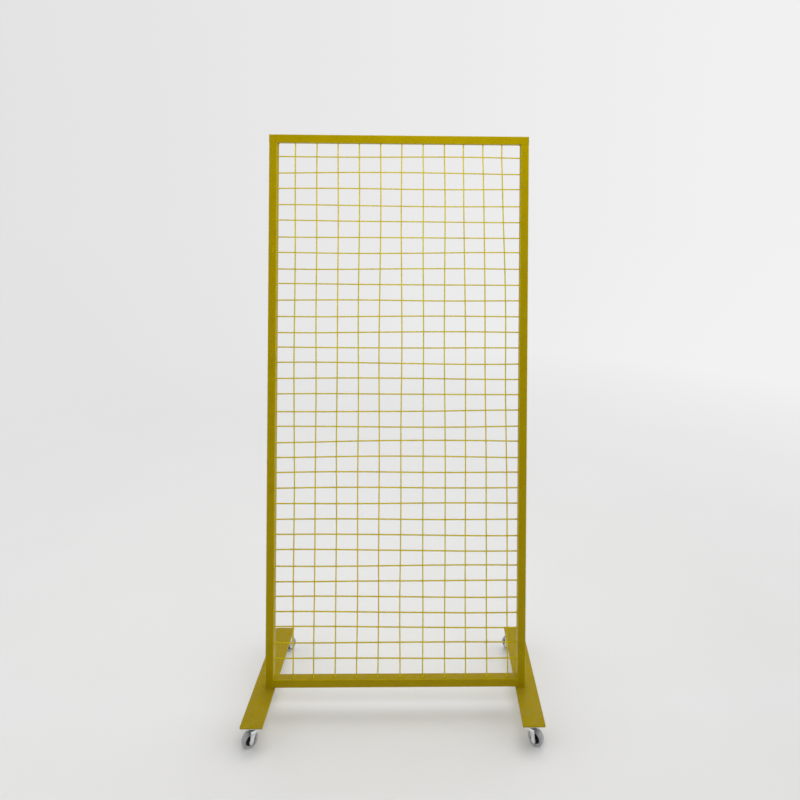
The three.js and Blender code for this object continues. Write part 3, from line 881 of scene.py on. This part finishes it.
class PANEL_OT_wire_mesh(PanelOperator, bpy.types.Operator):
    """Builds the welded wire mesh"""
    bl_idname = "mesh_panel.wire_mesh"
    bl_label = "Wire Mesh"

    def execute(self, context):
        sizes = context.scene.panel_frame
        low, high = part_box("mesh_panel")
        middle = (low + high) / 2
        into_frame = 0.5 * MM
        noise_swing = 4.0
        width = (sizes.upright_count - 1) * sizes.upright_spacing
        height = (sizes.cross_count - 1) * sizes.cross_spacing
        half_upright = Vector((0, 0, (high.z - low.z) / 2 + into_frame))
        half_cross = Vector(((high.x - low.x) / 2 + into_frame, 0, 0))
        top_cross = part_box("top_rail")[0].z - sizes.top_wire_drop - middle.z
        off_middle = (sizes.wire - sizes.wire_sink) / 2
        low_shift = 1.35 * sizes.shift
        piece = grown("welded_wire_mesh", mesh_tree(), {
            "Middle": middle, "Wire Radius": sizes.wire / 2,
            "Upright Count": sizes.upright_count, "Upright First": Vector((-width / 2, -off_middle, 0)),
            "Upright Step": Vector((sizes.upright_spacing, 0, 0)),
            "Upright Start": -half_upright, "Upright End": half_upright,
            "Cross Count": sizes.cross_count, "Cross First": Vector((0, off_middle, top_cross)),
            "Cross Step": Vector((0, 0, -sizes.cross_spacing)),
            "Cross Start": -half_cross, "Cross End": half_cross,
            "Width": width, "Height": height, "Crossing Height": top_cross - height / 2,
            "Top": height / 2, "Bottom": -height / 2,
            "Nugget": sizes.nugget, "End Tack": sizes.end_tack,
            "Upright Waver": noise_swing * sizes.upright_waver,
            "Cross Waver": noise_swing * sizes.cross_waver,
            "Top Left Stray": sizes.shift, "Top Right Stray": -1.3 * sizes.shift,
            "Bottom Left Stray": low_shift, "Bottom Right Stray": low_shift + sizes.lean,
            "Sag": sizes.sag, "Seed": 3.0, "Finish": finish_of("highlit_wire_colour"),
        })
        hand_over(piece, "root", ["mesh_panel"])
        return {"FINISHED"}


class PANEL_OT_weld_beads(PanelOperator, bpy.types.Operator):
    """Builds the fillet welds where rails, posts and foot plates meet"""
    bl_idname = "mesh_panel.weld_beads"
    bl_label = "Weld Beads"

    def execute(self, context):
        sizes = context.scene.panel_frame
        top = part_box("top_rail")[0].z
        rail_low, rail_high = (corner.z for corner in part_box("bottom_rail"))
        inset = sizes.tube_corner
        sunk = sizes.bead / 2 - sizes.bead_flush
        paths = []
        for side, post in ((-1, "left_post"), (1, "right_post")):
            low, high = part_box(post)
            inner, outer = (high.x, low.x) if side < 0 else (low.x, high.x)
            start, corner = inner + side * inset, outer - side * inset
            front, back = low.y + inset, high.y - inset
            paths += [[(inner, front, z), (inner, back, z)] for z in (top, rail_high)]
            paths.append([(x, y, low.z) for x, y in (
                (start, low.y), (corner, low.y), (outer, front), (outer, back), (corner, high.y),
                (start, high.y))])
            # Joints in the frame's flat faces are ground until the weld is almost flush.
            edge, near, far = outer - side * sunk, low.y + sunk, high.y - sunk
            paths.append([(x, y, top) for x, y in ((start, near), (edge, near), (edge, far), (start, far))])
            paths += [[(inner, y, rail_low + inset), (inner, y, rail_high - inset)] for y in (near, far)]
        points = [point for path in paths for point in path]
        ends = {sum(len(path) for path in paths[:i + 1]) - 1 for i in range(len(paths))}
        mesh = bpy.data.meshes.new("weld_paths")
        mesh.from_pydata(points, [(k, k + 1) for k in range(len(points)) if k not in ends], [])
        piece = grown("frame_weld_beads", bead_tree(), {
            "Radius": sizes.bead / 2, "Step": sizes.bead_step, "Seed": 5,
            "Finish": finish_of("frame_paint")}, mesh)
        hand_over(piece)
        return {"FINISHED"}


class PANEL_OT_feet(PanelOperator, bpy.types.Operator):
    """Builds the foot plates and their welded studs"""
    bl_idname = "mesh_panel.feet"
    bl_label = "Foot Plates and Studs"

    def execute(self, context):
        sizes, castor = context.scene.panel_frame, context.scene.panel_castor
        copies = copies_tree()
        for side in ("left", "right"):
            node = f"{side}_foot_plate"
            low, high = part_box(node)
            under = JOINTS[f"castor_front_{side}_swivel_turn"]["pos_m"][2]
            middle = (low + high) / 2
            mesh = slab(node, high.x - low.x, high.y - low.y, under, high.z, sizes.foot_corner,
                        sizes.foot_edge)
            deliver(mesh, f"{side}_foot_bar", "frame_paint", Matrix.Translation((middle.x, middle.y, 0)),
                    "root", node)

            reach, into_plate = under - low.z, 1 * MM
            shank = thread(castor.stud, castor.thread_start, reach, castor.thread_pitch)
            profile = [(0, 0), (castor.stud - castor.thread_taper, 0), *shank,
                       (castor.stud, reach + into_plate), (0, reach + into_plate)]
            stud = shade(link("stud", skin("stud", round_rings(profile, 20))))
            spots = [(spot.x, spot.y, low.z) for end in ("front", "rear")
                     for spot in nut_middles(f"castor_{end}_{side}")]
            studs = grown(f"{side}_foot_studs", copies, {
                "Piece": stud, "Seed": 2, "Finish": finish_of("zinc_plate")}, points_mesh(spots))
            bpy.data.objects.remove(stud)
            hand_over(studs)
        return {"FINISHED"}


class PANEL_OT_swivel_plates(PanelOperator, bpy.types.Operator):
    """Builds the swivel plates, with holes for the studs and the kingpin"""
    bl_idname = "mesh_panel.swivel_plates"
    bl_label = "Swivel Plates"

    def execute(self, context):
        sizes = context.scene.panel_castor
        hole_sides = 28
        for name in CASTORS:
            castor = Castor(name)
            low, high = castor.box("swivel_plate", castor.stand)
            thickness = high.z - low.z
            outlines = [[point[:2] for point in
                         rounded_outline(high.x - low.x, high.y - low.y, sizes.plate_corner)]]
            holes = [(castor.stand.inverted() @ middle, sizes.stud) for middle in nut_middles(name)]
            for middle, pin in holes + [(Vector(), sizes.kingpin)]:
                [ring] = round_rings([(pin + sizes.stud_clearance, 0)], hole_sides)
                outlines.append([(middle.x + point[0], middle.y + point[1]) for point in ring])
            matrix = castor.stand @ Matrix.Translation((0, 0, (low.z + high.z) / 2))
            deliver(cut_sheet(outlines, thickness, sizes.plate_edge), f"{name}_top_plate", "zinc_plate",
                    matrix, "root", f"{name}_swivel_plate")
        return {"FINISHED"}


class PANEL_OT_stud_nuts(PanelOperator, bpy.types.Operator):
    """Builds the four chamfered nuts of each castor"""
    bl_idname = "mesh_panel.stud_nuts"
    bl_label = "Stud Nuts"

    def execute(self, context):
        sizes = context.scene.panel_castor
        copies = copies_tree()
        for index, name in enumerate(CASTORS):
            low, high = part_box(f"{name}_stud_nut_1")
            half = (high.z - low.z) / 2
            nut = shade(link("nut", nut_mesh(sizes, sizes.stud, -half, half)))
            piece = grown(f"{name}_stud_nuts", copies, {
                "Piece": nut, "Seed": 11 + index, "Finish": finish_of("zinc_plate")},
                points_mesh(nut_middles(name)))
            bpy.data.objects.remove(nut)
            hand_over(piece, "root", [f"{name}_stud_nut_{i}" for i in range(1, 5)])
        return {"FINISHED"}


class PANEL_OT_kingpins(PanelOperator, bpy.types.Operator):
    """Builds the riveted kingpins"""
    bl_idname = "mesh_panel.kingpins"
    bl_label = "Kingpins"

    def execute(self, context):
        sizes = context.scene.panel_castor
        for name in CASTORS:
            castor = Castor(name)
            low, high = castor.box("kingpin", castor.stand)
            under_crown = castor.box("fork", castor.turn)[1].z - sizes.fork_sheet - SOFT
            head, flat, dome = high.x, 0.62 * high.x, 1.3 * MM
            points = [(0, low.z, 0), (flat, low.z, 1.2 * MM), (head, low.z + dome, 1.5 * MM),
                      (head, under_crown, SOFT), (sizes.kingpin, under_crown, 0.2 * MM),
                      (sizes.kingpin, high.z, 0.4 * MM), (0, high.z, 0)]
            deliver(turned("rivet", points, sides=40), f"{name}_rivet", "zinc_plate", castor.stand,
                    "root", f"{name}_kingpin")
        return {"FINISHED"}


class PANEL_OT_races(PanelOperator, bpy.types.Operator):
    """Builds the ball races: two pressed cups with balls between them"""
    bl_idname = "mesh_panel.races"
    bl_label = "Ball Races"

    def execute(self, context):
        sizes = context.scene.panel_castor
        tree = balls_tree()
        play, gap, sheet, sides = 0.4 * MM, 0.5 * MM, sizes.cup_sheet, 56
        for name in CASTORS:
            castor = Castor(name)
            low, high = castor.box("ball_race", castor.turn)
            middle = (low.z + high.z) / 2
            inner, outer = sizes.kingpin + SOFT, high.x
            wall = outer - sheet
            upper = [(inner, high.z, 0), (outer, high.z, 1.6 * MM), (outer, middle + gap, SOFT),
                     (wall, middle + gap, SOFT), (wall, high.z - sheet, 1 * MM), (inner, high.z - sheet, 0)]
            outer = wall - play
            wall = outer - sheet
            lower = [(inner, low.z, 0), (inner, low.z + sheet, 0), (wall, low.z + sheet, 1 * MM),
                     (wall, middle - gap, SOFT), (outer, middle - gap, SOFT), (outer, low.z, 1.4 * MM)]
            cups = turned("upper_cup", upper, closed=True, sides=sides)
            bm = bmesh.new()
            bm.from_mesh(cups)
            bm.from_mesh(turned("lower_cup", lower, closed=True, sides=sides))
            bm.to_mesh(cups)
            bm.free()
            blank = finished(cups, "cups", "zinc_plate")
            piece = grown(f"{name}_race", tree, {
                "Count": sizes.ball_count, "Ring Radius": outer - sizes.ball, "Ball Radius": sizes.ball,
                "Height": middle, "Finish": finish_of("zinc_plate")}, blank.data)
            bpy.data.objects.remove(blank)
            piece.data.transform(castor.turn)
            hand_over(piece, f"{name}_swivel", [f"{name}_ball_race"])
        return {"FINISHED"}


class PANEL_OT_forks(PanelOperator, bpy.types.Operator):
    """Builds the forks, each bent from one sheet"""
    bl_idname = "mesh_panel.forks"
    bl_label = "Forks"

    def execute(self, context):
        sizes = context.scene.panel_castor
        for name in CASTORS:
            castor = Castor(name)
            high = castor.box("fork", castor.turn)[1]
            piece = link(f"{name}_pressed_fork", fork_mesh(sizes, castor, high.y, high.z))
            wall = piece.modifiers.new("sheet", "SOLIDIFY")
            wall.thickness, wall.offset, wall.use_even_offset = sizes.fork_sheet, -1.0, True
            edge = piece.modifiers.new("edge", "BEVEL")
            edge.width, edge.segments, edge.limit_method = 0.4 * MM, 2, "ANGLE"
            edge.angle_limit = math.radians(55)
            plain(piece)
            piece.data.materials.append(finish_of("zinc_plate"))
            shade(piece)
            piece.data.transform(castor.turn)
            hand_over(piece, f"{name}_swivel", [f"{name}_fork"])
        return {"FINISHED"}


class PANEL_OT_axles(PanelOperator, bpy.types.Operator):
    """Builds the axle bolts and their nuts"""
    bl_idname = "mesh_panel.axles"
    bl_label = "Axle Bolts and Nuts"

    def execute(self, context):
        sizes = context.scene.panel_castor
        flats, radius = sizes.nut_flats, sizes.axle
        washer, dish = 0.46 * flats, 0.3 * flats
        for name in CASTORS:
            castor = Castor(name)
            nut_low, nut_high = (corner.z for corner in castor.box("axle_nut", castor.on_axle))
            tip, top = (corner.z for corner in castor.box("axle_bolt", castor.on_axle))
            matrix = castor.on_axle
            if nut_low > 0:
                matrix = matrix @ Matrix.Rotation(math.pi, 4, "X")
                nut_low, nut_high, tip, top = -nut_high, -nut_low, -top, -tip
            head = castor.box("fork", castor.turn)[1].y + SOFT
            shank = thread(radius, tip + sizes.thread_start, nut_high + 0.2 * MM, sizes.thread_pitch)
            rings = round_rings([(0, tip), (radius - sizes.thread_taper, tip), *shank,
                                 (radius, nut_high + 0.6 * MM), (radius, head),
                                 (washer, head), (washer, head + SOFT)])
            rings += hexagon_rings(flats, head + SOFT, top)
            rings += round_rings([(dish + 0.03 * flats, top), (dish, top - SOFT), (0, top - SOFT)])
            body = f"{name}_swivel"
            deliver(skin("bolt", rings), f"{name}_bolt", "zinc_plate", matrix, body, f"{name}_axle_bolt")
            deliver(nut_mesh(sizes, radius, nut_low, nut_high), f"{name}_nut", "zinc_plate", matrix, body,
                    f"{name}_axle_nut")
        return {"FINISHED"}


class PANEL_OT_hubs(PanelOperator, bpy.types.Operator):
    """Builds the moulded wheel centres with their ribs"""
    bl_idname = "mesh_panel.hubs"
    bl_label = "Wheel Hubs"

    def execute(self, context):
        sizes = context.scene.panel_castor
        tree = ribs_tree()
        into_wall, set_back = 0.5 * MM, 0.8 * MM
        boss, web, bore = sizes.hub_boss, sizes.hub_web / 2, sizes.axle + BORE_PLAY
        for name in CASTORS:
            castor = Castor(name)
            low, high = castor.box("wheel_hub", castor.on_axle)
            rim = castor.box("tyre", castor.on_axle)[1].z - sizes.hub_rim_step
            outer = (high.x - low.x) / 2
            rim_inside = outer - sizes.hub_rim
            half = [(bore, high.z, SOFT), (boss, high.z, 0.6 * MM), (boss + 0.4 * MM, web, 0.8 * MM),
                    (rim_inside - SOFT, web, 0.8 * MM), (rim_inside, rim, 0.5 * MM),
                    (outer, rim, 0.5 * MM)]
            blank = finished(turned("hub", both_sides(half), closed=True, sides=64, steps=3), "hub",
                             "hub_plastic")
            piece = grown(f"{name}_hub", tree, {
                "Count": sizes.rib_count, "Apart": math.tau / sizes.rib_count,
                "Inner": Vector((boss - into_wall, 0, 0)), "Outer": Vector((rim_inside + into_wall, 0, 0)),
                "Thickness": sizes.rib, "Depth": 2 * (rim - set_back), "Corner": 0.3 * sizes.rib,
                "Finish": finish_of("hub_plastic")}, blank.data)
            bpy.data.objects.remove(blank)
            piece.data.transform(castor.on_axle)
            hand_over(piece, f"{name}_wheel", [f"{name}_wheel_hub"])
        return {"FINISHED"}


class PANEL_OT_tyres(PanelOperator, bpy.types.Operator):
    """Builds the rubber treads, with round shoulders and a stepped side"""
    bl_idname = "mesh_panel.tyres"
    bl_label = "Tyres"

    def execute(self, context):
        sizes = context.scene.panel_castor
        for name in CASTORS:
            castor = Castor(name)
            side = castor.box("tyre", castor.on_axle)[1].z
            seat = castor.box("wheel_hub", castor.on_axle)[1].x + 0.15 * MM
            step, set_in = seat + 2.6 * MM, side - 0.6 * MM
            radius, shoulder = castor.axle_height, castor.axle_height - sizes.tyre_crown
            half = [(seat, set_in, SOFT), (step, set_in, 0.2 * MM), (step + 0.5 * MM, side, SOFT),
                    (shoulder - 1 * MM, side, 0.8 * sizes.tyre_shoulder),
                    (shoulder, side - sizes.tyre_shoulder, sizes.tyre_shoulder), (radius, 2 * MM, 3 * MM)]
            deliver(turned("tyre", both_sides(half), closed=True, sides=96), f"{name}_tread", "tyre_rubber",
                    castor.on_axle, f"{name}_wheel", f"{name}_tyre")
        return {"FINISHED"}


class PANEL_OT_stage(PanelOperator, bpy.types.Operator):
    """Builds the floor, the lights and the camera"""
    bl_idname = "mesh_panel.stage"
    bl_label = "Stage"

    def execute(self, context):
        scene, stage, finishes = context.scene, context.scene.panel_stage, context.scene.panel_finishes
        rings = round_rings([(radius, 0) for radius in (0, 2, 5, 12, 40)], 96)
        floor = skin("studio_floor", rings, capped=False)
        if floor.polygons[0].normal.z < 0:
            floor.flip_normals()
        floor.materials.append(studio_floor(finishes))
        link("studio_floor", floor)

        scene.world = bpy.data.worlds.new("even_sky")
        scene.world.use_nodes = True
        tree = scene.world.node_tree
        tree.nodes.clear()
        way = add(tree, "ShaderNodeTexCoord").outputs["Generated"]
        seen = add(tree, "ShaderNodeLightPath").outputs["Is Camera Ray"]
        across = add(tree, "ShaderNodeSeparateXYZ", {0: way}).outputs["X"]
        aside = add(tree, "ShaderNodeMath", {0: across}, operation="ABSOLUTE")
        sides = add(tree, "ShaderNodeMath", {0: aside, 1: 4.0}, operation="POWER")
        near_back = add(tree, "ShaderNodeVectorMath", {0: way, 1: Vector(stage.back_way).normalized()},
                        operation="DOT_PRODUCT").outputs["Value"]
        patch = add(tree, "ShaderNodeMapRange", {
            0: near_back, 1: math.cos(stage.back_spread), 2: math.cos(stage.back_spread / 2)})
        behind = add(tree, "ShaderNodeMath", {0: patch, 1: stage.back, 2: stage.sky},
                     operation="MULTIPLY_ADD")
        light = add(tree, "ShaderNodeMath", {0: sides, 1: stage.side, 2: behind}, operation="MULTIPLY_ADD")
        strength = add(tree, "ShaderNodeMapRange", {0: seen, 3: light, 4: 1.0})
        sky = add(tree, "ShaderNodeBackground", {
            "Color": backdrop(tree, way, finishes), "Strength": strength})
        add(tree, "ShaderNodeOutputWorld", {0: sky})

        lamp = bpy.data.lights.new("key_softbox", "AREA")
        lamp.shape, lamp.energy, lamp.spread = "RECTANGLE", stage.key, math.radians(100)
        lamp.size, lamp.size_y = stage.key_size
        holder = link("key_softbox", lamp)
        holder.visible_camera = False
        holder.location = stage.key_place
        aim = Vector(stage.key_aim) - Vector(stage.key_place)
        holder.rotation_euler = aim.to_track_quat("-Z", "Y").to_euler()

        camera = bpy.data.cameras.new("camera")
        camera.lens = stage.lens
        camera.sensor_fit, camera.sensor_height, camera.sensor_width = "VERTICAL", 36, 20
        camera.shift_x, camera.shift_y = stage.camera_shift
        camera.clip_end = 100
        scene.camera = link("camera", camera)
        scene.camera.matrix_world = (
            Matrix.Translation(stage.camera) @ Matrix.Rotation(stage.camera_pan, 4, "Z")
            @ Matrix.Rotation(QUARTER, 4, "X") @ Matrix.Rotation(stage.camera_roll, 4, "Z"))
        scene.view_settings.view_transform = "Standard"
        return {"FINISHED"}


class PANEL_PT_sidebar(bpy.types.Panel):
    """Lists the panel's operators and settings"""
    bl_idname = "PANEL_PT_sidebar"
    bl_label = "Mesh Panel"
    bl_space_type = "VIEW_3D"
    bl_region_type = "UI"
    bl_category = "Mesh Panel"

    def draw(self, context):
        for operator in OPERATORS:
            self.layout.operator(operator.bl_idname)
        for name in SETTINGS:
            group = getattr(context.scene, name)
            for field in group.bl_rna.properties:
                if field.identifier not in ("rna_type", "name"):
                    self.layout.prop(group, field.identifier)


OPERATORS = (
    PANEL_OT_stage, PANEL_OT_tubes, PANEL_OT_end_plates, PANEL_OT_wire_mesh, PANEL_OT_weld_beads,
    PANEL_OT_feet, PANEL_OT_swivel_plates, PANEL_OT_stud_nuts, PANEL_OT_kingpins, PANEL_OT_races,
    PANEL_OT_forks, PANEL_OT_axles, PANEL_OT_hubs, PANEL_OT_tyres,
)
SETTINGS = {
    "panel_frame": FrameSizes,
    "panel_castor": CastorSizes,
    "panel_finishes": Finishes,
    "panel_stage": StageSettings,
}


def register():
    """Registers the classes and hangs the settings on the scene."""
    for cls in (*SETTINGS.values(), *OPERATORS, PANEL_PT_sidebar):
        bpy.utils.register_class(cls)
    for name, cls in SETTINGS.items():
        setattr(bpy.types.Scene, name, PointerProperty(type=cls))


def unregister():
    """Takes the settings and the classes away again."""
    for name in SETTINGS:
        delattr(bpy.types.Scene, name)
    for cls in reversed((*SETTINGS.values(), *OPERATORS, PANEL_PT_sidebar)):
        bpy.utils.unregister_class(cls)


def main():
    """Builds the stage and every piece in order."""
    register()
    for operator in OPERATORS:
        group, name = operator.bl_idname.split(".")
        getattr(getattr(bpy.ops, group), name)()


if __name__ == "__main__":
    main()
